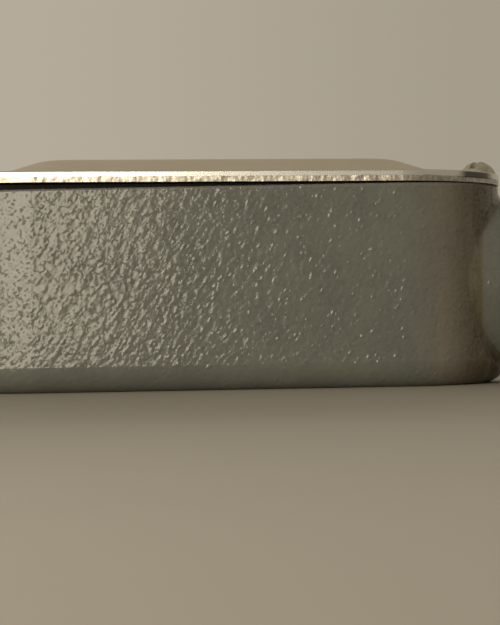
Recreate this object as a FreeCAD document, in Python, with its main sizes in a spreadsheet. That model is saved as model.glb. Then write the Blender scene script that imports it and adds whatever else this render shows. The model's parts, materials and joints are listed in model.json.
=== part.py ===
import FreeCAD, Part

import math
import os
import re

import Sketcher

# A straight-through conduit body: a cast box with a threaded hub at each end, closed by a stamped cover on two
# screws, with a rubber gasket under it. The screw at the left end is backed off, so the cover stands up there.
#
# Frame, in millimetres: X runs along the hubs, Z is up through the cover, and the flat back lies on Z = 0. The
# origin is on the back, half way between the hubs.

document = FreeCAD.newDocument("conduit_body")
sizes = document.addObject("Spreadsheet::Sheet", "sizes")

# alias, value, what it is
DRIVING_SIZES = [
    ("thread_bore", 26.6, "hub wall that carries the thread"),
    ("thread_length", 14.5, "length of that wall past its bevel"),
    ("thread_lead", 0.9, "bevel that starts the thread"),
    ("hub_wall", 2.2, "metal round the thread"),
    ("hub_length", 17.5, "hub, beyond the end of the shell"),
    ("hub_blend", 2.0, "fillet where a hub meets the shell"),
    ("mouth_break", 1.0, "bevel on the outer edge of a hub's mouth"),
    ("bushing_bore", 20.9, "smooth stop ring behind the thread"),
    ("bushing_break", 1.0, "bevel on the edge of the stop ring"),
    ("body_length", 103.3, "casting, end to end without its hubs"),
    ("side_margin", 3.4, "shell, beyond the hub on each side"),
    ("back_margin", 2.1, "shell, from its back to the hub"),
    ("face_margin", 2.9, "shell, from the hub to the cover face"),
    ("draft", 2.0, "lean of the shell's walls, in degrees, that lets it leave the mould"),
    ("wall", 3.2, "casting wall round the chamber"),
    ("floor", 3.2, "casting wall at the back"),
    ("back_round", 4.4, "radius round the edge of the back"),
    ("chamber_break", 2.0, "bevel round the chamber floor"),
    ("face_break", 0.4, "small bevel round the cover face"),
    ("seat_land", 1.5, "metal rim left round the gasket seat"),
    ("seat_sink", 0.6, "depth of the gasket seat"),
    ("boss_radius", 4.2, "screw boss inside the end wall"),
    ("boss_clear", 0.55, "screw boss, above the way through the stop ring"),
    ("screw_inset", 3.5, "screw axis, inside the end of the shell"),
    ("cover_overhang", 0.1, "cover, beyond the casting all round"),
    ("cover_gauge", 2.0, "thickness of the cover sheet"),
    ("cover_lift", 1.45, "gap under the cover's loose end"),
    ("cover_break", 0.25, "break on the upper edge of the stamped sheet"),
    ("cover_hole", 4.2, "screw clearance hole in the cover"),
    ("panel_end_margin", 9.75, "flat sheet beyond the raised panel, ends"),
    ("panel_side_margin", 3.5, "flat sheet beyond the raised panel, sides"),
    ("panel_slope", 9.5, "run of the panel's sloped sides"),
    ("panel_rise", 3.0, "height of the raised panel"),
    ("panel_round", 10.0, "radius at the foot and crest of the slope"),
    ("gasket_thickness", 1.65, "gasket where nothing squeezes it"),
    ("gasket_width", 3.1, "gasket, across the ring"),
    ("gasket_play", 0.1, "gap between the gasket and its seat's wall"),
    ("gasket_pad", 4.0, "radius of the pad round a screw"),
    ("squeeze_play", 0.05, "gap between gasket and cover, tight end"),
    ("screw_diameter", 3.4, "cover screw shank"),
    ("screw_length", 9.5, "cover screw, under its head"),
    ("screw_point", 0.5, "bevel at the screw's end"),
    ("screw_play", 0.05, "radial gap between shank and tapped hole"),
    ("head_diameter", 6.7, "round head"),
    ("head_height", 2.6, "round head"),
    ("slot_width", 1.1, "driver slot"),
    ("slot_sink", 1.4, "driver slot, below the crown"),
    ("seat_play", 0.02, "gap kept under a screw head"),
    ("cut_margin", 0.1, "how far a through cut runs past the metal"),
]
for row, (alias, amount, meaning) in enumerate(DRIVING_SIZES, start=1):
    sizes.set(f"A{row}", alias)
    sizes.set(f"B{row}", str(amount))
    sizes.set(f"C{row}", meaning)
    sizes.setAlias(f"B{row}", alias)

# Sizes that follow from the driving ones.
WORKED_OUT = [
    ("hub_diameter", "=thread_bore + 2 * hub_wall"),
    ("body_width", "=hub_diameter + 2 * side_margin"),
    ("body_depth", "=hub_diameter + back_margin + face_margin"),
    ("hub_height", "=back_margin + hub_diameter / 2"),
    ("hub_end", "=body_length / 2 + hub_length"),
    ("back_spread", "=body_depth * tan(draft)"),
    ("end_center", "=(body_length - body_width) / 2"),
    ("stop_place", "=hub_end - thread_lead - thread_length"),
    ("boss_bottom", "=hub_height + bushing_bore / 2 + boss_clear"),
    ("screw_place", "=body_length / 2 - screw_inset"),
    ("cover_length", "=body_length + 2 * cover_overhang"),
    ("cover_width", "=body_width + 2 * cover_overhang"),
    ("cover_tilt", "=asin(cover_lift / cover_length)"),
    ("panel_length", "=cover_length - 2 * panel_end_margin"),
    ("panel_width", "=cover_width - 2 * panel_side_margin"),
    ("tapped_hole", "=screw_diameter + 2 * screw_play"),
]
for row, (alias, formula) in enumerate(WORKED_OUT, start=len(DRIVING_SIZES) + 2):
    sizes.set(f"A{row}", alias)
    sizes.set(f"B{row}", formula)
    sizes.setAlias(f"B{row}", alias)
document.recompute()

# How a sketch names its own axes and the points of a line or arc.
H_AXIS, V_AXIS = range(-1, -3, -1)
START, END, CENTER = range(1, 4)
NEAR = 0.01  # closer than this, two places are the same
ALIASES = [alias for alias, *_ in DRIVING_SIZES + WORKED_OUT]


def sheet_formula(formula):
    """The formula with each alias pointing at the sheet."""
    return re.sub("[a-z_]+", lambda word: f"sizes.{word[0]}" if word[0] in ALIASES else word[0], formula)


def amount_of(formula):
    """What the formula comes to now, in millimetres."""
    result = sizes.evalExpression(sheet_formula(formula))
    return float(getattr(result, "Value", result))


def bind(feature, place, formula):
    feature.setExpression(place, sheet_formula(formula))


def new_body(label):
    body = document.addObject("PartDesign::Body", label)
    body.Label = label
    return body


def origin_plane(body, role):
    return next(item for item in body.Origin.OriginFeatures if item.Role == role)


def new_sketch(body, name, role, height="0"):
    """A sketch on one of the body's origin planes; height lifts an XY sketch up Z, and an XZ sketch's own X axis."""
    sketch = body.newObject("Sketcher::SketchObject", name)
    sketch.AttachmentSupport = [(origin_plane(body, role), "")]
    sketch.MapMode = "FlatFace"
    if height != "0":
        side = "z" if role == "XY_Plane" else "y"
        bind(sketch, f".AttachmentOffset.Base.{side}", height)
    return sketch


def pin_point(sketch, geometry, point, x, y):
    """Ties a point of the sketch to the origin by two formulas."""
    for kind, formula, axis in (("DistanceX", x, V_AXIS), ("DistanceY", y, H_AXIS)):
        if formula == "0":
            sketch.addConstraint(Sketcher.Constraint("PointOnObject", geometry, point, axis))
            continue
        constraint = Sketcher.Constraint(kind, H_AXIS, START, geometry, point, amount_of(formula))
        index = sketch.addConstraint(constraint)
        bind(sketch, f"Constraints[{index}]", formula)


def draw_oblong(sketch, length, width):
    """An oblong with full-round ends, centred on the origin."""
    half, radius = amount_of(f"({length} - ({width})) / 2"), amount_of(f"({width}) / 2")
    up = FreeCAD.Vector(0, 0, 1)
    right, left = FreeCAD.Vector(half, 0, 0), FreeCAD.Vector(-half, 0, 0)
    rise = FreeCAD.Vector(0, radius, 0)
    quarter = math.pi / 2
    top = sketch.addGeometry(Part.LineSegment(left + rise, right + rise))
    right_end = sketch.addGeometry(Part.ArcOfCircle(Part.Circle(right, up, radius), -quarter, quarter))
    bottom = sketch.addGeometry(Part.LineSegment(right - rise, left - rise))
    left_end = sketch.addGeometry(Part.ArcOfCircle(Part.Circle(left, up, radius), quarter, 3 * quarter))
    for first, first_end, second, second_end in (
        (top, END, right_end, END),
        (right_end, START, bottom, START),
        (bottom, END, left_end, END),
        (left_end, START, top, START),
    ):
        sketch.addConstraint(Sketcher.Constraint("Tangent", first, first_end, second, second_end))
    sketch.addConstraint(Sketcher.Constraint("Equal", right_end, left_end))
    pin_point(sketch, right_end, CENTER, f"({length} - ({width})) / 2", "0")
    pin_point(sketch, left_end, CENTER, f"0 - ({length} - ({width})) / 2", "0")
    index = sketch.addConstraint(Sketcher.Constraint("Radius", right_end, radius))
    bind(sketch, f"Constraints[{index}]", f"({width}) / 2")


def draw_polygon(sketch, corners):
    """A closed outline whose corners are pairs of formulas. Returns the index of each side."""
    places = [FreeCAD.Vector(amount_of(x), amount_of(y), 0) for x, y in corners]
    sides = []
    for index, place in enumerate(places):
        following = places[(index + 1) % len(places)]
        sides.append(sketch.addGeometry(Part.LineSegment(place, following)))
    for index, side in enumerate(sides):
        following = sides[(index + 1) % len(sides)]
        sketch.addConstraint(Sketcher.Constraint("Coincident", side, END, following, START))
        pin_point(sketch, side, START, *corners[index])
    return sides


def draw_circle(sketch, x, radius):
    circle = Part.Circle(FreeCAD.Vector(amount_of(x), 0, 0), FreeCAD.Vector(0, 0, 1), amount_of(radius))
    geometry = sketch.addGeometry(circle)
    pin_point(sketch, geometry, CENTER, x, "0")
    index = sketch.addConstraint(Sketcher.Constraint("Radius", geometry, amount_of(radius)))
    bind(sketch, f"Constraints[{index}]", radius)


def draw_tab(sketch, center, radius, root):
    """A tab that points inwards: a half circle at center, with straight sides running out to root."""
    inward = -1 if amount_of(center) > 0 else 1
    quarter = math.pi / 2
    middle = FreeCAD.Vector(amount_of(center), 0, 0)
    far = FreeCAD.Vector(amount_of(root), 0, 0)
    rise = FreeCAD.Vector(0, amount_of(radius), 0)
    first, last = (quarter, 3 * quarter) if inward < 0 else (-quarter, quarter)
    circle = Part.Circle(middle, FreeCAD.Vector(0, 0, 1), rise.y)
    nose = sketch.addGeometry(Part.ArcOfCircle(circle, first, last))
    upper_end, lower_end = (START, END) if inward < 0 else (END, START)
    upper = sketch.addGeometry(Part.LineSegment(middle + rise, far + rise))
    back = sketch.addGeometry(Part.LineSegment(far + rise, far - rise))
    lower = sketch.addGeometry(Part.LineSegment(far - rise, middle - rise))
    sketch.addConstraint(Sketcher.Constraint("Tangent", nose, upper_end, upper, START))
    sketch.addConstraint(Sketcher.Constraint("Coincident", upper, END, back, START))
    sketch.addConstraint(Sketcher.Constraint("Coincident", back, END, lower, START))
    sketch.addConstraint(Sketcher.Constraint("Tangent", lower, END, nose, lower_end))
    sketch.addConstraint(Sketcher.Constraint("Vertical", back))
    pin_point(sketch, nose, CENTER, center, "0")
    index = sketch.addConstraint(Sketcher.Constraint("Radius", nose, rise.y))
    bind(sketch, f"Constraints[{index}]", radius)
    constraint = Sketcher.Constraint("DistanceX", H_AXIS, START, back, START, far.x)
    index = sketch.addConstraint(constraint)
    bind(sketch, f"Constraints[{index}]", root)


def add_pad(body, name, sketch, height, downwards=False):
    pad = body.newObject("PartDesign::Pad", name)
    pad.Profile = sketch
    bind(pad, "Length", height)
    pad.Reversed = downwards
    document.recompute()
    return pad


def add_pocket(body, name, sketch, depth, both_ways=False):
    """Cuts the sketch downwards, or both ways from its plane."""
    before = body.Shape.Volume
    pocket = body.newObject("PartDesign::Pocket", name)
    pocket.Profile = sketch
    bind(pocket, "Length", depth)
    pocket.Midplane = both_ways
    document.recompute()
    if body.Shape.Volume >= before:
        raise RuntimeError(f"{name} cuts nothing")
    return pocket


def add_revolved(body, kind, name, sketch, axis):
    feature = body.newObject(f"PartDesign::{kind}", name)
    feature.Profile = sketch
    feature.ReferenceAxis = (sketch, [axis])
    feature.Angle = 360
    document.recompute()
    return feature


def dress_edges(body, kind, name, chosen, radius):
    """A fillet or chamfer on the edges of the body's last feature that chosen() accepts."""
    base = body.Tip
    edges = [f"Edge{index}" for index, edge in enumerate(base.Shape.Edges, start=1) if chosen(edge)]
    if not edges:
        raise RuntimeError(f"{name} finds no edge")
    feature = body.newObject(f"PartDesign::{kind}", name)
    feature.Base = (base, edges)
    bind(feature, "Radius" if kind == "Fillet" else "Size", radius)
    document.recompute()
    return feature


def lies_at(height):
    """Accepts an edge that lies flat at this height."""

    def chosen(edge):
        box = edge.BoundBox
        return abs(box.ZMin - height) < NEAR and abs(box.ZMax - height) < NEAR

    return chosen


def make_casting():
    """The box, its hubs, chamber, stop rings, gasket seat and screw bosses: one casting."""
    body = new_body("body_casting")

    # The walls lean in from the back to the cover face, where the body's length and width are taken.
    outline = new_sketch(body, "shell_outline", "XY_Plane")
    draw_oblong(outline, "body_length + 2 * back_spread", "body_width + 2 * back_spread")
    shell = add_pad(body, "shell", outline, "body_depth")
    bind(shell, "TaperAngle", "0 - draft")
    document.recompute()
    dress_edges(body, "Fillet", "rounded_back", lies_at(0), "back_round")
    dress_edges(body, "Chamfer", "face_edge", lies_at(amount_of("body_depth")), "face_break")

    # Both hubs are one turned form on the hub axis, which runs on through the shell.
    hubs = new_sketch(body, "hub_outline", "XZ_Plane", "hub_height")
    rim, shoulder = "hub_diameter / 2 - mouth_break", "hub_diameter / 2"
    draw_polygon(hubs, [
        ("0 - hub_end", "0"), ("hub_end", "0"), ("hub_end", rim),
        ("hub_end - mouth_break", shoulder), ("0 - (hub_end - mouth_break)", shoulder),
        ("0 - hub_end", rim),
    ])
    add_revolved(body, "Revolution", "hubs", hubs, "H_Axis")

    # The blend follows the line where a hub runs into the shell's round end.
    inner, outer = amount_of("end_center"), amount_of("body_length / 2 + back_spread") + NEAR
    hub_radius, hub_height = amount_of("hub_diameter / 2"), amount_of("hub_height")

    def meets_hub(edge):
        for share in (0.2, 0.5, 0.8):
            first, last = edge.ParameterRange
            place = edge.valueAt(first + share * (last - first))
            from_axis = FreeCAD.Vector(0, place.y, place.z - hub_height).Length
            if abs(from_axis - hub_radius) > NEAR or not inner < abs(place.x) < outer:
                return False
        return True

    dress_edges(body, "Fillet", "hub_roots", meets_hub, "hub_blend")

    mouth = new_sketch(body, "chamber_outline", "XY_Plane", "body_depth")
    draw_oblong(mouth, "body_length - 2 * wall", "body_width - 2 * wall")
    add_pocket(body, "chamber", mouth, "body_depth - floor")
    dress_edges(body, "Chamfer", "chamber_floor", lies_at(amount_of("floor")), "chamber_break")

    bosses = new_sketch(body, "boss_outline", "XY_Plane", "body_depth")
    for side in ("", "0 - "):
        draw_tab(bosses, f"{side}screw_place", "boss_radius", f"{side}(body_length - wall) / 2")
    add_pad(body, "screw_bosses", bosses, "body_depth - boss_bottom", downwards=True)

    seat = new_sketch(body, "seat_outline", "XY_Plane", "body_depth")
    draw_oblong(seat, "body_length - 2 * seat_land", "body_width - 2 * seat_land")
    add_pocket(body, "gasket_seat", seat, "seat_sink")

    # From each mouth inwards: the bevel, the wall that takes the thread, the shoulder, the smooth stop ring.
    bores = new_sketch(body, "bore_outline", "XZ_Plane", "hub_height")
    half = [
        ("hub_end", "thread_bore / 2 + thread_lead"),
        ("hub_end - thread_lead", "thread_bore / 2"),
        ("stop_place", "thread_bore / 2"),
        ("stop_place", "bushing_bore / 2"),
    ]
    mirrored = [(f"0 - ({x})", y) for x, y in reversed(half)]
    draw_polygon(bores, [("0 - hub_end", "0"), ("hub_end", "0"), *half, *mirrored])
    add_revolved(body, "Groove", "hub_bores", bores, "H_Axis")

    stop, ring = amount_of("stop_place"), amount_of("bushing_bore / 2")

    def edges_stop_ring(edge):
        box = edge.BoundBox
        flat = box.XMax - box.XMin < NEAR
        return flat and abs(abs(box.XMax) - stop) < NEAR and abs(box.ZMax - hub_height - ring) < NEAR

    dress_edges(body, "Chamfer", "stop_ring_edges", edges_stop_ring, "bushing_break")

    holes = new_sketch(body, "tapped_hole_outline", "XY_Plane", "body_depth")
    for side in ("", "0 - "):
        draw_circle(holes, f"{side}screw_place", "tapped_hole / 2")
    add_pocket(body, "tapped_holes", holes, "body_depth - boss_bottom + cut_margin")
    return body


def panel_loft(body, kind, name, foot_height):
    """The raised panel's form, from its foot at this height to its crest."""
    foot = new_sketch(body, f"{name}_foot", "XY_Plane", foot_height)
    draw_oblong(foot, "panel_length", "panel_width")
    crest = new_sketch(body, f"{name}_crest", "XY_Plane", f"{foot_height} + panel_rise")
    draw_oblong(crest, "panel_length - 2 * panel_slope", "panel_width - 2 * panel_slope")
    loft = body.newObject(f"PartDesign::{kind}", name)
    loft.Profile = foot
    loft.Sections = [crest]
    loft.Ruled = True
    document.recompute()
    return loft


def make_cover():
    """One stamped sheet: the raised panel has the sheet's own thickness all over."""
    body = new_body("cover")
    outline = new_sketch(body, "sheet_outline", "XY_Plane")
    draw_oblong(outline, "cover_length", "cover_width")
    add_pad(body, "sheet", outline, "cover_gauge")
    dress_edges(body, "Chamfer", "blanked_edge", lies_at(amount_of("cover_gauge")), "cover_break")
    gauge, rise = amount_of("cover_gauge"), amount_of("panel_rise")
    reach = amount_of("panel_width / 2") + NEAR

    def of_panel(height):
        """Accepts an edge of the panel at this height, and none of the sheet's own outline."""
        level = lies_at(height)
        return lambda edge: level(edge) and max(abs(edge.BoundBox.YMin), abs(edge.BoundBox.YMax)) < reach

    panel_loft(body, "AdditiveLoft", "panel", "cover_gauge")
    dress_edges(body, "Fillet", "panel_foot_round", of_panel(gauge), "panel_round")
    dress_edges(body, "Fillet", "panel_crest_round", of_panel(gauge + rise), "panel_round")
    panel_loft(body, "SubtractiveLoft", "panel_hollow", "0")
    dress_edges(body, "Fillet", "hollow_foot_round", of_panel(0), "panel_round - cover_gauge")
    dress_edges(body, "Fillet", "hollow_crest_round", of_panel(rise), "panel_round - cover_gauge")

    holes = new_sketch(body, "clearance_hole_outline", "XY_Plane", "cover_gauge")
    for side in ("", "0 - "):
        draw_circle(holes, f"{side}screw_place", "cover_hole / 2")
    add_pocket(body, "clearance_holes", holes, "cover_gauge + cut_margin")

    # The sheet tips about its right-hand end, which stays on the casting's face.
    bind(body, ".Placement.Rotation.Angle", "cover_tilt")
    body.Placement.Rotation.Axis = FreeCAD.Vector(0, 1, 0)
    bind(body, ".Placement.Base.x", "cover_length / 2 * (1 - cos(cover_tilt))")
    bind(body, ".Placement.Base.z", "body_depth + cover_lift / 2")
    return body


def make_gasket():
    """A flat ring with a pad round each screw, squeezed at the tight end and at full thickness at the loose one."""
    body = new_body("gasket")
    outer_length = "body_length - 2 * seat_land - 2 * gasket_play"
    outer_width = "body_width - 2 * seat_land - 2 * gasket_play"

    outline = new_sketch(body, "ring_outline", "XY_Plane")
    draw_oblong(outline, outer_length, outer_width)
    add_pad(body, "ring", outline, "gasket_thickness + seat_sink")
    opening = new_sketch(body, "opening_outline", "XY_Plane", "gasket_thickness + seat_sink")
    draw_oblong(opening, f"{outer_length} - 2 * gasket_width", f"{outer_width} - 2 * gasket_width")
    add_pocket(body, "opening", opening, "gasket_thickness + seat_sink")

    pads = new_sketch(body, "pad_outline", "XY_Plane")
    for side in ("", "0 - "):
        draw_tab(pads, f"{side}screw_place", "gasket_pad", f"{side}(body_length / 2 - seat_land - gasket_width / 2)")
    add_pad(body, "pads", pads, "gasket_thickness + seat_sink")

    holes = new_sketch(body, "hole_outline", "XY_Plane", "gasket_thickness + seat_sink")
    for side in ("", "0 - "):
        draw_circle(holes, f"{side}screw_place", "cover_hole / 2")
    add_pocket(body, "holes", holes, "gasket_thickness + seat_sink")

    # The cover's slope is taken off the top.
    squeeze = new_sketch(body, "squeeze_outline", "XZ_Plane")
    low, high = "seat_sink - squeeze_play", "gasket_thickness"
    above = "2 * gasket_thickness + 2 * seat_sink"
    draw_polygon(squeeze, [
        ("0 - body_length / 2", high), ("body_length / 2", low),
        ("body_length / 2", above), ("0 - body_length / 2", above),
    ])
    add_pocket(body, "squeeze", squeeze, "2 * body_width", both_ways=True)
    bind(body, ".Placement.Base.z", "body_depth - seat_sink")
    return body


def make_screw(label, side, turn):
    """A slotted round-head machine screw. Its own origin is on its axis, under the head."""
    body = new_body(label)
    profile = new_sketch(body, "profile", "XZ_Plane")
    shank, head = "screw_diameter / 2", "head_diameter / 2"
    corners = [
        ("0", "head_height"), ("0", "0 - screw_length"), (f"{shank} - screw_point", "0 - screw_length"),
        (shank, "0 - screw_length + screw_point"), (shank, "0"), (head, "0"),
    ]
    places = [FreeCAD.Vector(amount_of(x), amount_of(y), 0) for x, y in corners]
    sides = [profile.addGeometry(Part.LineSegment(places[index], places[index + 1])) for index in range(5)]
    for index in range(4):
        profile.addConstraint(Sketcher.Constraint("Coincident", sides[index], END, sides[index + 1], START))
    for index in range(5):
        pin_point(profile, sides[index], START, *corners[index])
    pin_point(profile, sides[4], END, *corners[5])

    # The crown is one arc, centred on the axis, from the head's rim to its top.
    rim, top = places[5], places[0]
    radius = (rim.x**2 + top.y**2) / (2 * top.y)
    center = FreeCAD.Vector(0, top.y - radius, 0)
    start = math.atan2(rim.y - center.y, rim.x)
    circle = Part.Circle(center, FreeCAD.Vector(0, 0, 1), radius)
    crown = profile.addGeometry(Part.ArcOfCircle(circle, start, math.pi / 2))
    profile.addConstraint(Sketcher.Constraint("Coincident", crown, START, sides[4], END))
    profile.addConstraint(Sketcher.Constraint("Coincident", crown, END, sides[0], START))
    profile.addConstraint(Sketcher.Constraint("PointOnObject", crown, CENTER, V_AXIS))
    add_revolved(body, "Revolution", "turned_blank", profile, "V_Axis")

    slot = new_sketch(body, "slot_outline", "XY_Plane", "head_height")
    across, along = "slot_width / 2", "head_diameter"
    draw_polygon(slot, [
        (f"0 - {along}", f"0 - {across}"), (along, f"0 - {across}"),
        (along, across), (f"0 - {along}", across),
    ])
    add_pocket(body, "slot", slot, "slot_sink")

    # The head stands on the cover's upper face, at the height that the tipped sheet has there.
    body.Placement.Rotation = FreeCAD.Rotation(FreeCAD.Vector(0, 0, 1), turn)
    bind(body, ".Placement.Base.x", f"{side}screw_place")
    reach = f"(cover_length / 2 - ({side}screw_place) + head_diameter / 2)"
    face = f"cover_gauge / cos(cover_tilt) + {reach} * tan(cover_tilt)"
    bind(body, ".Placement.Base.z", f"body_depth + {face} + seat_play")
    return body


SLOT_TURNS = {"screw_right": 62, "screw_left": 25}
pieces = [
    make_casting(),
    make_cover(),
    make_gasket(),
    make_screw("screw_right", "", SLOT_TURNS["screw_right"]),
    make_screw("screw_left", "0 - ", SLOT_TURNS["screw_left"]),
]
document.recompute()

for item in document.Objects:
    if "Invalid" in item.State or "Error" in item.State:
        raise RuntimeError(f"{item.Label} failed: {item.State}")
for piece in pieces:
    if piece.Shape.isNull() or not piece.Shape.isValid() or len(piece.Shape.Solids) != 1:
        raise RuntimeError(f"{piece.Label} is not one sound solid")

os.makedirs("parts", exist_ok=True)
for piece in pieces:
    piece.Shape.exportStep(os.path.join("parts", f"{piece.Label}.step"))
    box = piece.Shape.BoundBox
    print(f"{piece.Label}: {piece.Shape.Volume:.1f} mm3, Z {box.ZMin:.2f} to {box.ZMax:.2f}")
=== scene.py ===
# %% [markdown]
# # A straight-through conduit body
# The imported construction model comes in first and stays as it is. Everything after it is finish: paint, bare metal,
# rubber, the pipe thread, the floor, the lamps and the camera.
# %% Load the frame
import json
import math

import bmesh
import bpy
from mathutils import Matrix, Vector


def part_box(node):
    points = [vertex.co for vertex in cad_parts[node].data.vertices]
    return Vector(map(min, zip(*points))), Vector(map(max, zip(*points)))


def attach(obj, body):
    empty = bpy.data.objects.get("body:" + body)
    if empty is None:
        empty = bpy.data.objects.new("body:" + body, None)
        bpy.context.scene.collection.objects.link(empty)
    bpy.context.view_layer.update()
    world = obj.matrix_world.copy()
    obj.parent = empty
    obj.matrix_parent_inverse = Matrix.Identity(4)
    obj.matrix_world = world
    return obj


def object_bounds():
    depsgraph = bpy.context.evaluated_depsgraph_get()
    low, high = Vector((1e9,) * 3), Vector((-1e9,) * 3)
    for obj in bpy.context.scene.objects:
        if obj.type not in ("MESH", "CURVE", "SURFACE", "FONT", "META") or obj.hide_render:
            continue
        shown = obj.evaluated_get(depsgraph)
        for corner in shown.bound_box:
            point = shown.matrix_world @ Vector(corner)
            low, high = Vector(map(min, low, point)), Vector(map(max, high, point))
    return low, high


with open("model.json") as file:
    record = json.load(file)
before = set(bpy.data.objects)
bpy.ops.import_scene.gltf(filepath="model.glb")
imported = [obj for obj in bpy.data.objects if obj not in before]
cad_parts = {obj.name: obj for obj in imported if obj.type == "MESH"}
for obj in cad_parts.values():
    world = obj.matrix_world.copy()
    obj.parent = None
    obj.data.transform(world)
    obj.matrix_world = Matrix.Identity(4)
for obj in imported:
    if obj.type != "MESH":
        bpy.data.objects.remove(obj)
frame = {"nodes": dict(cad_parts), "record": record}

MM = 0.001
cad_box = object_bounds()
print("model box, mm:", [[round(value / MM, 1) for value in corner] for corner in cad_box])

# %% [markdown]
# ## Sizes that the finish needs
# Places come from the frame: the hub mounts say where the thread is, and each piece's box says where its faces are.
# %% Read the places
mounts = {mount["name"]: mount for mount in frame["record"]["mounts"]}
right_hub = mounts["hub_right"]
hub_height = right_hub["pos_m"][2]
thread_radius = right_hub["dims"]["r_mm"] * MM
thread_length = right_hub["dims"]["length_mm"] * MM
thread_middle = right_hub["pos_m"][0]
casting_low, casting_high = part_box("body_casting")
cover_low, cover_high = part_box("cover")
face_height = casting_high.z
print("hub axis is above the floor by, mm:", round(hub_height / MM, 1))

# %% [markdown]
# ## The slope of the cover
# One end of the cover has come loose, so it is tipped. Its slope is measured on its own mesh, between the lowest
# points at its two ends. The sheet's thickness is the height from its underside to the screw head that sits on it.
# %% Measure the cover
TIP_REACH = 0.5 * MM
HEAD_REACH = 0.2 * MM


def lowest_near(node_name, x, reach):
    """The lowest point of a piece within reach of a place along X."""
    points = (vertex.co for vertex in frame["nodes"][node_name].data.vertices)
    return min(point.z for point in points if abs(point.x - x) < reach)


tight_end = lowest_near("cover", cover_high.x, TIP_REACH)
loose_end = lowest_near("cover", cover_low.x, TIP_REACH)
cover_slope = (loose_end - tight_end) / (cover_high.x - cover_low.x)
screw_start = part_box("screw_right")[0].x
sheet_gauge = lowest_near("screw_right", screw_start, HEAD_REACH) - tight_end
print("cover stands up by, mm:", round((loose_end - tight_end) / MM, 2))
print("sheet gauge, mm:", round(sheet_gauge / MM, 2))

# %% [markdown]
# ## Helpers for materials
# A colour is written as the hex value seen on a screen, which is sRGB, and the shader wants linear light, so one
# function converts it. Another adds a node, sets it and links it, so that a material reads as a list of steps.
# The short names are the node kinds and settings that come back again and again. A soft ramp runs from 0 to 1
# between two values, and from 1 to 0 where the first value is the larger one.
# %% Colour and node helpers
MATH = "ShaderNodeMath"
RAMP = "ShaderNodeMapRange"
MIX = "ShaderNodeMix"
NOISE = "ShaderNodeTexNoise"
TIMES = {"operation": "MULTIPLY"}
TIMES_PLUS = {"operation": "MULTIPLY_ADD"}
PLUS = {"operation": "ADD"}
MINUS = {"operation": "SUBTRACT"}
POWER = {"operation": "POWER"}
ROOT = {"operation": "SQRT"}
WITHOUT_SIGN = {"operation": "ABSOLUTE"}
LARGER_OF = {"operation": "MAXIMUM"}
IS_BELOW = {"operation": "LESS_THAN"}
IS_ABOVE = {"operation": "GREATER_THAN"}
SOFT = {"interpolation_type": "SMOOTHSTEP"}
COLOURS = {"data_type": "RGBA"}
NUMBERS = {"data_type": "FLOAT"}


def colour(hex_value):
    """An sRGB hex colour as linear light."""
    channels = [int(hex_value[index:index + 2], 16) / 255 for index in (1, 3, 5)]
    linear = [c / 12.92 if c <= 0.04045 else ((c + 0.055) / 1.055) ** 2.4 for c in channels]
    return (*linear, 1.0)


def add(tree, kind, settings=None, inputs=None):
    """Adds a node. An input is a value, a socket to link, or a node whose first live output is linked."""
    made = tree.nodes.new(kind)
    for name, value in (settings or {}).items():
        setattr(made, name, value)
    for name, value in (inputs or {}).items():
        if isinstance(value, bpy.types.Node):
            value = next(output for output in value.outputs if output.enabled)
        if isinstance(value, bpy.types.NodeSocket):
            tree.links.new(value, made.inputs[name])
        else:
            made.inputs[name].default_value = value
    return made


def per_metre(size_mm):
    """The texture scale that makes a pattern's features about this many millimetres wide."""
    return 1.0 / (size_mm * MM)


# %% [markdown]
# ## How each material starts and ends
# Every material begins with the place of a point on the object, so its pattern stays with the object when that
# moves. Every material ends with one Principled shader that takes what the steps before it worked out.
# %% Start and finish a material


def start_material(name):
    """An empty material, its tree of nodes, and the place of a point on the object."""
    material = bpy.data.materials.new(name)
    material.use_nodes = True
    tree = material.node_tree
    tree.nodes.clear()
    return material, tree, add(tree, "ShaderNodeTexCoord").outputs["Object"]


def finish_material(tree, inputs):
    """Gives the inputs to the shader and joins it to the material's output."""
    shader = add(tree, "ShaderNodeBsdfPrincipled", inputs=inputs)
    add(tree, "ShaderNodeOutputMaterial", inputs={"Surface": shader})


# %% [markdown]
# ## Textured enamel: the wrinkles
# The casting is sprayed with a grey baked enamel that shrinks into small soft wrinkles as it cures, about a
# millimetre apart. They lean, because the wet paint sagged before it set. A noise makes the orange peel, a cell
# pattern makes round drops and a few craters, and a finer noise roughens them all. That grain is really finer than a
# tenth of a millimetre, and is drawn coarser so that it shows.
# %% The enamel's wrinkles
PEEL_MM = 1.5
DROP_MM = 1.2
GRAIN_MM = 0.35
LEAN_DEGREES = 38
LEAN_STRETCH = (0.8, 1.0, 1.2)


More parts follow.
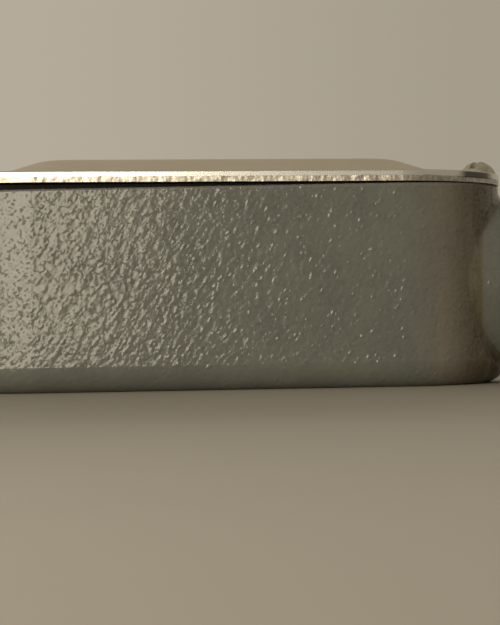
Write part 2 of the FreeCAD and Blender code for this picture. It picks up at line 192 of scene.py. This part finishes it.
def enamel_wrinkles(tree, place, grain):
    """The height of the paint at a point, from 0 to about 2."""
    wander = add(tree, NOISE, inputs={"Vector": place, "Scale": per_metre(2.0 * DROP_MM), "Detail": 2.0})
    push = add(tree, "ShaderNodeVectorMath", {"operation": "SCALE"}, {
        0: wander.outputs["Color"], "Scale": 0.6 * DROP_MM * MM,
    })
    bent = add(tree, "ShaderNodeVectorMath", PLUS, {0: place, 1: push})
    leaning = add(tree, "ShaderNodeMapping", {"vector_type": "TEXTURE"}, {
        "Vector": bent, "Rotation": (0.0, math.radians(LEAN_DEGREES), 0.0), "Scale": LEAN_STRETCH,
    })
    peel = add(tree, NOISE, inputs={
        "Vector": leaning, "Scale": per_metre(PEEL_MM), "Detail": 1.5, "Roughness": 0.45,
    })
    cells = add(tree, "ShaderNodeTexVoronoi", inputs={"Vector": leaning, "Scale": per_metre(DROP_MM)}).outputs
    chance = add(tree, "ShaderNodeSeparateXYZ", inputs={"Vector": cells["Color"]})
    domes = add(tree, RAMP, SOFT, {"Value": cells["Distance"], "From Min": 0.50, "From Max": 0.05})
    drops = add(tree, MATH, TIMES, {0: domes, 1: add(tree, MATH, POWER, {0: chance, 1: 2.0})})
    bowls = add(tree, RAMP, SOFT, {"Value": cells["Distance"], "From Min": 0.30, "From Max": 0.05})
    few = add(tree, RAMP, SOFT, {"Value": chance, "From Min": 0.36, "From Max": 0.30})
    craters = add(tree, MATH, TIMES, {0: bowls, 1: few})
    height = add(tree, MATH, TIMES, {0: drops, 1: 0.70})
    height = add(tree, MATH, TIMES_PLUS, {0: peel, 1: 1.2, 2: height})
    height = add(tree, MATH, TIMES_PLUS, {0: craters, 1: -0.22, 2: height})
    return add(tree, MATH, TIMES_PLUS, {0: grain, 1: 0.03, 2: height})


# %% [markdown]
# ## Textured enamel: where the metal is bare
# The bores are tapped and the face under the cover is milled after casting, so both stay bare. The bores are found by
# their distance from the hub axis and the face by its height.
# %% The bare places
BORE_REACH = 1.0 * MM
CUT_REACH = 0.1 * MM


def off_hub_axis(tree, spot):
    """How far a point is from the line through both hubs."""
    above = add(tree, MATH, MINUS, {0: spot["Z"], 1: hub_height})
    across = add(tree, MATH, POWER, {0: spot["Y"], 1: 2.0})
    upwards = add(tree, MATH, POWER, {0: above, 1: 2.0})
    return add(tree, MATH, ROOT, {0: add(tree, MATH, PLUS, {0: across, 1: upwards})})


def bare_places(tree, spot, off_axis):
    """1 in the tapped bores and on the milled face, and 0 elsewhere."""
    along = add(tree, MATH, WITHOUT_SIGN, {0: spot["X"]})
    in_bore = add(tree, MATH, IS_BELOW, {0: off_axis, 1: thread_radius + BORE_REACH})
    past_stop = add(tree, MATH, IS_ABOVE, {0: along, 1: thread_middle - thread_length / 2 - CUT_REACH})
    bore = add(tree, MATH, TIMES, {0: in_bore, 1: past_stop})
    face = add(tree, MATH, IS_ABOVE, {0: spot["Z"], 1: face_height - CUT_REACH})
    return add(tree, MATH, LARGER_OF, {0: bore, 1: face})


# %% [markdown]
# ## Textured enamel: the painted shade on the right-hand end
# The near side of the right-hand end, up to the foot of the hub, is painted darker and browner: painted shade where
# the end turns away from the lamp, and a painted brown reflection. A paler brown comes first and a darker one over it
# near the hub, and both are broken into hanging runs by a noise that is stretched upright. The hub itself is left
# out.
# %% The painted shade on the right-hand end
RUN_MM = 2.5
RUN_STRETCH = (1.0, 1.0, 0.15)
HUB_REACH = thread_radius + 2.6 * MM
HUB_FOOT = cover_high.x - 5.5 * MM
END_SHADE_START = cover_high.x - 18.0 * MM


def paint_with_end_shade(tree, place, spot, off_axis, paint):
    """The paint with painted shade and a painted brown reflection on the right-hand end."""
    near_axis = add(tree, MATH, IS_BELOW, {0: off_axis, 1: HUB_REACH})
    past_foot = add(tree, RAMP, SOFT, {"Value": spot["X"], "From Min": HUB_FOOT, "From Max": HUB_FOOT + 1.5 * MM})
    on_hub = add(tree, MATH, TIMES, {0: near_axis, 1: past_foot})
    near_side = add(tree, RAMP, SOFT, {"Value": spot["Y"], "From Min": -1.0 * MM, "From Max": -6.0 * MM})
    end_shade = add(tree, MATH, {**MINUS, "use_clamp": True}, {0: near_side, 1: on_hub})
    hanging = add(tree, "ShaderNodeMapping", inputs={"Vector": place, "Scale": RUN_STRETCH})
    runs = add(tree, NOISE, inputs={"Vector": hanging, "Scale": per_metre(RUN_MM), "Detail": 3.0})
    clear_runs = add(tree, RAMP, SOFT, {"Value": runs, "From Min": 0.35, "From Max": 0.62})
    end_shade = add(tree, MATH, TIMES, {0: end_shade, 1: add(tree, MIX, NUMBERS, {0: clear_runs, 2: 0.55, 3: 1.1})})
    pale_shade_edge = add(tree, RAMP, SOFT, {
        "Value": spot["X"], "From Min": END_SHADE_START, "From Max": END_SHADE_START + 6.0 * MM,
    })
    deep_shade_edge = add(tree, RAMP, SOFT, {
        "Value": spot["X"], "From Min": END_SHADE_START + 4.5 * MM, "From Max": HUB_FOOT + 0.5 * MM,
    })
    pale_end_shade = add(tree, MATH, TIMES, {0: add(tree, MATH, TIMES, {0: end_shade, 1: pale_shade_edge}), 1: 0.6})
    deep_end_shade = add(tree, MATH, TIMES, {0: add(tree, MATH, TIMES, {0: end_shade, 1: deep_shade_edge}), 1: 0.8})
    # Painted shade and a painted brown reflection: paler first, and darker near the hub.
    paint = add(tree, MIX, COLOURS, {0: pale_end_shade, 6: paint, 7: colour("#766d60")})
    return add(tree, MIX, COLOURS, {0: deep_end_shade, 6: paint, 7: colour("#4d4632")})


# %% [markdown]
# ## Textured enamel: the paint's colour
# The grey is a little uneven, and darker in small speckles, painted shade in the deepest pits. A thin line along
# the upper edge where the cover sits is paler, a painted highlight of that edge.
# %% The enamel's colour
MOTTLE_MM = 9.0
PIT_MM = 1.4
EDGE_HIGHLIGHT_START = face_height - 0.6 * MM
EDGE_HIGHLIGHT_END = face_height - 0.3 * MM


def enamel_colour(tree, place, spot, off_axis):
    """The colour of the paint, with its painted shade and its painted highlight."""
    mottle = add(tree, NOISE, inputs={
        "Vector": place, "Scale": per_metre(MOTTLE_MM), "Detail": 4.0, "Roughness": 0.6,
    })
    uneven = add(tree, RAMP, SOFT, {"Value": mottle, "From Min": 0.35, "From Max": 0.65})
    paint = add(tree, MIX, COLOURS, {0: uneven, 6: colour("#5f6059"), 7: colour("#65665e")})
    pits = add(tree, NOISE, inputs={
        "Vector": place, "Scale": per_metre(PIT_MM), "Detail": 3.0, "Roughness": 0.75,
    })
    # Painted shade in the deepest pits.
    pit_shade = add(tree, RAMP, SOFT, {"Value": pits, "From Min": 0.68, "From Max": 0.74})
    pit_shade = add(tree, MATH, TIMES, {0: pit_shade, 1: 0.4})
    paint = add(tree, MIX, COLOURS, {0: pit_shade, 6: paint, 7: colour("#4c4a41")})
    # Painted shade and a painted brown reflection on the right-hand end.
    paint = paint_with_end_shade(tree, place, spot, off_axis, paint)
    # A painted highlight along the upper edge, where the cover sits.
    edge_highlight = add(tree, RAMP, SOFT, {"Value": spot["Z"], "From Min": EDGE_HIGHLIGHT_START, "From Max": EDGE_HIGHLIGHT_END})
    edge_highlight = add(tree, MATH, TIMES, {0: edge_highlight, 1: 0.5})
    return add(tree, MIX, COLOURS, {0: edge_highlight, 6: paint, 7: colour("#828384")})


# %% [markdown]
# ## Textured enamel: put together
# The cured paint is glossy, so each wrinkle carries its own small highlight. Pinholes in it give back less light.
# Where the metal is bare, the same material turns to dull cut aluminium.
# %% Textured enamel
PINHOLE_MM = 0.6
RELIEF_MM = 0.078


def textured_enamel():
    material, tree, place = start_material("textured_enamel")
    spot = add(tree, "ShaderNodeSeparateXYZ", inputs={"Vector": place}).outputs
    off_axis = off_hub_axis(tree, spot)
    bare = bare_places(tree, spot, off_axis)
    grain = add(tree, NOISE, inputs={"Vector": place, "Scale": per_metre(GRAIN_MM), "Detail": 2.0})
    wrinkles = enamel_wrinkles(tree, place, grain)
    paint = enamel_colour(tree, place, spot, off_axis)
    rubbed = add(tree, RAMP, SOFT, {"Value": grain, "From Min": 0.35, "From Max": 0.7})
    gloss = add(tree, MIX, NUMBERS, {0: rubbed, 2: 0.13, 3: 0.19})
    pinholes = add(tree, NOISE, inputs={"Vector": place, "Scale": per_metre(PINHOLE_MM), "Detail": 1.0})
    pinholes = add(tree, RAMP, SOFT, {"Value": pinholes, "From Min": 0.55, "From Max": 0.63})
    finish_material(tree, {
        "Base Color": add(tree, MIX, COLOURS, {0: bare, 6: paint, 7: colour("#c3bfb6")}),
        "Metallic": bare,
        "Roughness": add(tree, MIX, NUMBERS, {0: bare, 2: gloss, 3: 0.32}),
        "Specular IOR Level": add(tree, MIX, NUMBERS, {0: pinholes, 2: 0.5, 3: 0.10}),
        "Normal": add(tree, "ShaderNodeBump", inputs={
            "Strength": 1.0, "Distance": RELIEF_MM * MM, "Height": wrinkles,
        }),
    })
    return material


# %% [markdown]
# ## Stamped aluminium: the cut edge
# A punch cuts the sheet's edge in two bands. The upper one is burnished by the punch, and below it the metal tears
# and stays rough. The bands follow the sheet, which is tipped, so height is measured from the sheet's own underside.
# The edge is found by its distance from the middle line of the oblong, which is straight between two half rounds.
# %% The cut edge
EDGE_ROUND = 0.12 * MM
RAGGED_MM = 1.6
TEAR_LEAST = 0.72 * MM
TEAR_SPREAD = 0.5 * MM


def above_underside(tree, spot):
    """The height of a point over the underside of the tipped sheet."""
    to_tight_end = add(tree, MATH, MINUS, {0: cover_high.x, 1: spot["X"]})
    underside = add(tree, MATH, TIMES_PLUS, {0: to_tight_end, 1: cover_slope, 2: tight_end})
    return add(tree, MATH, MINUS, {0: spot["Z"], 1: underside})


def edge_bands(tree, place, spot, height):
    """Two masks: the whole cut edge, and the torn band of it."""
    along = add(tree, MATH, WITHOUT_SIGN, {0: spot["X"]})
    past_straight = add(tree, MATH, MINUS, {0: along, 1: cover_high.x - cover_high.y})
    past_straight = add(tree, MATH, LARGER_OF, {0: past_straight, 1: 0.0})
    along_part = add(tree, MATH, POWER, {0: past_straight, 1: 2.0})
    across_part = add(tree, MATH, POWER, {0: spot["Y"], 1: 2.0})
    outwards = add(tree, MATH, ROOT, {0: add(tree, MATH, PLUS, {0: along_part, 1: across_part})})
    cut_edge = add(tree, MATH, IS_ABOVE, {0: outwards, 1: cover_high.y - EDGE_ROUND})
    ragged = add(tree, NOISE, inputs={"Vector": place, "Scale": per_metre(RAGGED_MM), "Detail": 3.0})
    tear_line = add(tree, MATH, TIMES_PLUS, {0: ragged, 1: TEAR_SPREAD, 2: TEAR_LEAST})
    below_tear = add(tree, MATH, IS_BELOW, {0: height, 1: tear_line})
    return cut_edge, add(tree, MATH, TIMES, {0: cut_edge, 1: below_tear})


# %% [markdown]
# ## Stamped aluminium: the painted shade under the screw
# The near side of the edge under the right-hand screw head is painted dark, as painted shade under the head.
# %% The painted shade under the screw
HEAD_SHADE_X = screw_start + 1.6 * MM
HEAD_SHADE_REACH = 4.0 * MM


def metal_with_head_shade(tree, spot, height, cut_edge, metal):
    """The metal with painted shade under the screw head on it."""
    aside = add(tree, MATH, WITHOUT_SIGN, {0: add(tree, MATH, MINUS, {0: spot["X"], 1: HEAD_SHADE_X})})
    width = add(tree, RAMP, SOFT, {"Value": aside, "From Min": HEAD_SHADE_REACH, "From Max": 0.45 * HEAD_SHADE_REACH})
    upper = add(tree, RAMP, SOFT, {
        "Value": height, "From Min": 0.30 * sheet_gauge, "From Max": 0.42 * sheet_gauge,
    })
    head_shade = add(tree, MATH, TIMES, {0: width, 1: upper})
    head_shade = add(tree, MATH, TIMES, {0: head_shade, 1: add(tree, MATH, IS_BELOW, {0: spot["Y"], 1: 0.0})})
    head_shade = add(tree, MATH, TIMES, {0: head_shade, 1: cut_edge})
    head_shade = add(tree, MATH, TIMES, {0: head_shade, 1: 0.85})
    # Painted shade under the right-hand screw head.
    return add(tree, MIX, COLOURS, {0: head_shade, 6: metal, 7: colour("#1d1a15")})


# %% [markdown]
# ## Stamped aluminium: put together
# The flat keeps the dull sheen of the rolls, with fine streaks along the sheet and faint clouds from handling. Real
# streaks are finer than these, which are drawn a third of a millimetre apart so that they show.
# Aluminium is a metal, so its colour is in its reflections, and roughness tells the bands apart: the burnished one is
# the brightest, and the torn one has waves and a grain that break its reflection up.
# %% Stamped aluminium
ROLL_MM = 0.35
HANDLING_MM = 12.0
TEAR_MM = 0.5
WAVE_MM = 2.4
EDGE_RELIEF_MM = 0.07


def stamped_aluminium():
    material, tree, place = start_material("stamped_aluminium")
    spot = add(tree, "ShaderNodeSeparateXYZ", inputs={"Vector": place}).outputs
    height = above_underside(tree, spot)
    cut_edge, torn = edge_bands(tree, place, spot, height)
    burnished = add(tree, MATH, MINUS, {0: cut_edge, 1: torn})

    upright = add(tree, "ShaderNodeMapping", inputs={"Vector": place, "Scale": (1.0, 1.0, 0.35)})
    fracture = add(tree, NOISE, inputs={
        "Vector": upright, "Scale": per_metre(TEAR_MM), "Detail": 4.0, "Roughness": 0.65,
    })
    rolled = add(tree, "ShaderNodeMapping", inputs={"Vector": place, "Scale": (0.03, 1.0, 1.0)})
    streaks = add(tree, NOISE, inputs={"Vector": rolled, "Scale": per_metre(ROLL_MM), "Detail": 3.0})
    handling = add(tree, NOISE, inputs={
        "Vector": place, "Scale": per_metre(HANDLING_MM), "Detail": 5.0, "Roughness": 0.6,
    })
    waves = add(tree, NOISE, inputs={"Vector": place, "Scale": per_metre(WAVE_MM), "Detail": 2.0})

    clouds = add(tree, RAMP, SOFT, {"Value": handling, "From Min": 0.3, "From Max": 0.7})
    clear_streaks = add(tree, RAMP, SOFT, {"Value": streaks, "From Min": 0.35, "From Max": 0.65})
    sheet = add(tree, MIX, COLOURS, {0: clouds, 6: colour("#cdc1aa"), 7: colour("#d8cdb8")})
    sheet = add(tree, MIX, COLOURS, {0: clear_streaks, 6: sheet, 7: colour("#d3c8b3")})
    facets = add(tree, RAMP, SOFT, {"Value": fracture, "From Min": 0.40, "From Max": 0.62})
    torn_metal = add(tree, MIX, COLOURS, {0: facets, 6: colour("#a49e94"), 7: colour("#c6c1b8")})
    metal = add(tree, MIX, COLOURS, {0: torn, 6: sheet, 7: torn_metal})
    metal = add(tree, MIX, COLOURS, {0: burnished, 6: metal, 7: colour("#dfdfdd")})

    soft_streaks = add(tree, RAMP, SOFT, {"Value": streaks, "From Min": 0.3, "From Max": 0.7})
    dullness = add(tree, MIX, NUMBERS, {0: soft_streaks, 2: 0.30, 3: 0.40})
    dullness = add(tree, MIX, NUMBERS, {0: torn, 2: dullness, 3: 0.32})
    dullness = add(tree, MIX, NUMBERS, {0: burnished, 2: dullness, 3: 0.23})
    tears = add(tree, MATH, TIMES, {0: fracture, 1: 0.30})
    tears = add(tree, MATH, TIMES_PLUS, {0: waves, 1: 3.2, 2: tears})
    roll_marks = add(tree, MATH, TIMES, {0: streaks, 1: 0.06})
    relief = add(tree, MIX, NUMBERS, {0: torn, 2: roll_marks, 3: tears})
    finish_material(tree, {
        "Base Color": metal_with_head_shade(tree, spot, height, cut_edge, metal),
        "Metallic": 1.0,
        "Roughness": dullness,
        "Normal": add(tree, "ShaderNodeBump", inputs={
            "Strength": 1.0, "Distance": EDGE_RELIEF_MM * MM, "Height": relief,
        }),
    })
    return material


# %% [markdown]
# ## Zinc-plated steel
# The screws are steel, plated with zinc and passivated, which leaves a faint warm tint and soft reflections.
# %% Zinc-plated steel
PLATING_MM = 1.2


def zinc_plated_steel():
    material, tree, place = start_material("zinc_plated_steel")
    cloud = add(tree, NOISE, inputs={
        "Vector": place, "Scale": per_metre(PLATING_MM), "Detail": 4.0, "Roughness": 0.6,
    })
    tint = add(tree, RAMP, SOFT, {"Value": cloud, "From Min": 0.3, "From Max": 0.7})
    finish_material(tree, {
        "Base Color": add(tree, MIX, COLOURS, {0: tint, 6: colour("#a8a48f"), 7: colour("#c9c6b8")}),
        "Metallic": 1.0,
        "Roughness": add(tree, MIX, NUMBERS, {0: cloud, 2: 0.22, 3: 0.42}),
        "Normal": add(tree, "ShaderNodeBump", inputs={
            "Strength": 0.3, "Distance": 0.03 * MM, "Height": cloud,
        }),
    })
    return material


# %% [markdown]
# ## Tapped aluminium
# The thread is cut by a tap and never painted. The tap leaves fine chatter, so the bare metal is a little uneven.
# %% Tapped aluminium
CHATTER_MM = 0.4


def tapped_aluminium():
    material, tree, place = start_material("tapped_aluminium")
    marks = add(tree, NOISE, inputs={"Vector": place, "Scale": per_metre(CHATTER_MM), "Detail": 3.0})
    tone = add(tree, RAMP, SOFT, {"Value": marks, "From Min": 0.3, "From Max": 0.7})
    finish_material(tree, {
        "Base Color": add(tree, MIX, COLOURS, {0: tone, 6: colour("#b3afa6"), 7: colour("#d2cec6")}),
        "Metallic": 1.0,
        "Roughness": add(tree, MIX, NUMBERS, {0: marks, 2: 0.25, 3: 0.45}),
    })
    return material


# %% [markdown]
# ## Gasket rubber
# The gasket is die-cut from black sheet rubber. It is matt and gives back almost no light.
# %% Gasket rubber
BLOOM_MM = 0.8


def gasket_rubber():
    material, tree, place = start_material("gasket_rubber")
    bloom = add(tree, NOISE, inputs={"Vector": place, "Scale": per_metre(BLOOM_MM), "Detail": 3.0})
    finish_material(tree, {
        "Base Color": add(tree, MIX, COLOURS, {0: bloom, 6: colour("#0b0b0a"), 7: colour("#191816")}),
        "Roughness": 0.85,
        "Specular IOR Level": 0.25,
    })
    return material


# %% [markdown]
# ## Finish the pieces
# Each piece of the construction model keeps its mesh and gets one material. Both screws share theirs.
# %% Give each piece its finish
screw_finish = zinc_plated_steel()
FINISHES = {
    "body_casting": textured_enamel(),
    "cover": stamped_aluminium(),
    "gasket": gasket_rubber(),
    "screw_right": screw_finish,
    "screw_left": screw_finish,
}
for node_name, finish in FINISHES.items():
    slots = frame["nodes"][node_name].data.materials
    slots.clear()
    slots.append(finish)
    print(node_name, "is finished in", finish.name)

# %% [markdown]
# ## The pipe thread
# Each hub is tapped for conduit: fourteen ridges an inch, with flanks at sixty degrees. One blunt ridge profile is
# spun round the hub axis, and each step of the spin also moves it a little along the axis, which makes the helix.
# The foot of the ridge is sunk a hair into the bore, so that no gap shows between them.
# %% Cut the threads
INCH = 25.4 * MM
PITCH = INCH / 14
RIDGE_HEIGHT = 1.0 * MM
RIDGE_FOOT = 0.44 * PITCH
RIDGE_CREST = 0.08 * PITCH
SINK = 0.03 * MM
STEPS_PER_TURN = 60
RIDGE_PROFILE = [(-RIDGE_FOOT, SINK), (-RIDGE_CREST, -RIDGE_HEIGHT), (RIDGE_CREST, -RIDGE_HEIGHT), (RIDGE_FOOT, SINK)]
thread_finish = tapped_aluminium()


def thread_in_hub(name, side):
    """The thread of one hub; side is 1 for the hub at +X and -1 for the other."""
    turns = (thread_length - 2 * RIDGE_FOOT) / PITCH
    start = side * (thread_middle + thread_length / 2 - RIDGE_FOOT)
    mesh = bmesh.new()
    corners = [mesh.verts.new((start + x, 0, hub_height + thread_radius + r)) for x, r in RIDGE_PROFILE]
    first = mesh.faces.new(corners)
    steps = round(turns * STEPS_PER_TURN)
    bmesh.ops.spin(
        mesh, geom=[first, *first.edges, *first.verts], cent=(0, 0, hub_height), axis=(1, 0, 0),
        dvec=(-side * turns * PITCH / steps, 0, 0), angle=side * turns * math.tau, steps=steps,
        use_duplicate=False, use_merge=False, use_normal_flip=False,
    )
    bmesh.ops.recalc_face_normals(mesh, faces=mesh.faces)
    data = bpy.data.meshes.new(name)
    mesh.to_mesh(data)
    mesh.free()
    data.materials.append(thread_finish)
    thread = bpy.data.objects.new(name, data)
    bpy.context.collection.objects.link(thread)
    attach(thread, "root")
    print(name, "turns:", round(turns, 1), "faces:", len(data.polygons))


thread_in_hub("hub_thread_right", 1)
thread_in_hub("hub_thread_left", -1)

# %% [markdown]
# ## Floor
# The floor is plain pale card, far wider than the view, so that its edge never shows. It is not quite matt, and gives
# back a soft glow at a low angle.
# %% Floor
FLOOR_REACH = 6.0
FIBRE_MM = 30.0


def pale_card():
    material, tree, place = start_material("pale_card")
    fibre = add(tree, NOISE, inputs={"Vector": place, "Scale": per_metre(FIBRE_MM), "Detail": 3.0})
    finish_material(tree, {
        "Base Color": add(tree, MIX, COLOURS, {0: fibre, 6: colour("#a7a092"), 7: colour("#aba496")}),
        "Roughness": 0.6,
    })
    return material


mesh = bmesh.new()
bmesh.ops.create_grid(mesh, x_segments=1, y_segments=1, size=FLOOR_REACH)
floor_data = bpy.data.meshes.new("floor")
mesh.to_mesh(floor_data)
mesh.free()
floor_data.materials.append(pale_card())
floor = bpy.data.objects.new("floor", floor_data)
bpy.context.collection.objects.link(floor)
print("floor reaches, m:", FLOOR_REACH)

# %% [markdown]
# ## Surroundings
# The world does two jobs. To the camera and to reflections it is a pale backdrop, written as the colour that shows,
# and darker towards the right, a painted fall-off of the window's light. To everything else it is a weak fill,
# brighter from the left, where the window is.
# %% World
BACKDROP_STRENGTH = 1.0
FILL_STRENGTH = 0.36

world = bpy.data.worlds.new("studio")
bpy.context.scene.world = world
world.use_nodes = True
tree = world.node_tree
tree.nodes.clear()
ray = add(tree, "ShaderNodeLightPath").outputs
shows = add(tree, MATH, LARGER_OF, {0: ray["Is Camera Ray"], 1: ray["Is Transmission Ray"]})
shows = add(tree, MATH, LARGER_OF, {0: shows, 1: ray["Is Glossy Ray"]})
towards = add(tree, "ShaderNodeSeparateXYZ", inputs={
    "Vector": add(tree, "ShaderNodeTexCoord").outputs["Generated"],
}).outputs
# Painted shade: the backdrop darkens towards the right.
backdrop_side = add(tree, RAMP, SOFT, {"Value": towards["X"], "From Min": -0.14, "From Max": 0.16})
backdrop = add(tree, "ShaderNodeBackground", inputs={
    "Color": add(tree, MIX, COLOURS, {0: backdrop_side, 6: colour("#b4ab9a"), 7: colour("#a49b8a")}),
    "Strength": BACKDROP_STRENGTH,
})
fill_side = add(tree, RAMP, SOFT, {"Value": towards["X"], "From Min": -0.5, "From Max": 0.6})
fill = add(tree, "ShaderNodeBackground", inputs={
    "Color": add(tree, MIX, COLOURS, {0: fill_side, 6: colour("#fbf9f4"), 7: colour("#a69580")}),
    "Strength": FILL_STRENGTH,
})
add(tree, "ShaderNodeOutputWorld", inputs={
    "Surface": add(tree, "ShaderNodeMixShader", inputs={0: shows, 1: fill, 2: backdrop}),
})
print("world is ready")

# %% [markdown]
# ## Lamps
# A soft lamp beside the camera, to its left, draws the long highlight on the near wall and on the cut edge of the
# cover, and a small weak one near it lifts the shadows. A broad one above and behind puts the soft shadow on the
# floor in front. The last two stay out of the reflections, where they would show as hard bright shapes.
# %% Lamps


def add_lamp(name, azimuth, elevation, distance, size, power, tint):
    """A soft lamp that looks at the middle of the object. Azimuth 0 is in front, and grows to the right."""
    data = bpy.data.lights.new(name, "AREA")
    data.shape = "RECTANGLE"
    data.size, data.size_y = size
    data.energy = power
    data.color = colour(tint)[:3]
    lamp = bpy.data.objects.new(name, data)
    turn, rise = math.radians(azimuth), math.radians(elevation)
    outwards = Vector((math.sin(turn) * math.cos(rise), -math.cos(turn) * math.cos(rise), math.sin(rise)))
    middle = (cad_box[0] + cad_box[1]) / 2
    lamp.location = middle + outwards * distance
    lamp.rotation_mode = "QUATERNION"
    lamp.rotation_quaternion = outwards.to_track_quat("Z", "Y")
    bpy.context.collection.objects.link(lamp)
    print(name, "at, m:", [round(value, 2) for value in lamp.location])
    return lamp


window_left = add_lamp("window_left", -25.5, 9.8, 0.77, (0.56, 0.26), 3.0, "#fff3d9")
window_back = add_lamp("window_back", 180, 19, 1.6, (2.2, 0.28), 14, "#fffaf2")
desk_left = add_lamp("desk_left", -22, 8, 0.34, (0.08, 0.08), 0.18, "#fffaf2")
window_back.visible_glossy = False
desk_left.visible_glossy = False

# %% [markdown]
# ## Camera
# The camera looks square on at the long wall, low down, from about a third of a metre, and is rolled by a degree.
# The view cuts off the loose end and the far part of the right-hand hub.
# %% Camera
IMAGE_WIDTH, IMAGE_HEIGHT = 500, 625
VIEW_WIDTH = 87.5 * MM
CAMERA_TO_WALL = 345 * MM
LOOK_X, LOOK_Z = 5.5 * MM, 13.6 * MM
ROLL_DEGREES = 1.07

camera_data = bpy.data.cameras.new("camera")
camera_data.sensor_width = 36.0
camera_data.clip_start = 0.01
view_height = VIEW_WIDTH * IMAGE_HEIGHT / IMAGE_WIDTH
camera_data.lens = camera_data.sensor_width * CAMERA_TO_WALL / view_height
camera = bpy.data.objects.new("camera", camera_data)
camera.location = (LOOK_X, casting_low.y - CAMERA_TO_WALL, LOOK_Z)
level = Matrix.Rotation(math.radians(90), 4, "X")
camera.rotation_mode = "QUATERNION"
camera.rotation_quaternion = (level @ Matrix.Rotation(math.radians(-ROLL_DEGREES), 4, "Z")).to_quaternion()
bpy.context.collection.objects.link(camera)
bpy.context.scene.camera = camera
bpy.context.scene.view_settings.view_transform = "Standard"
print("lens, mm:", round(camera_data.lens, 1))
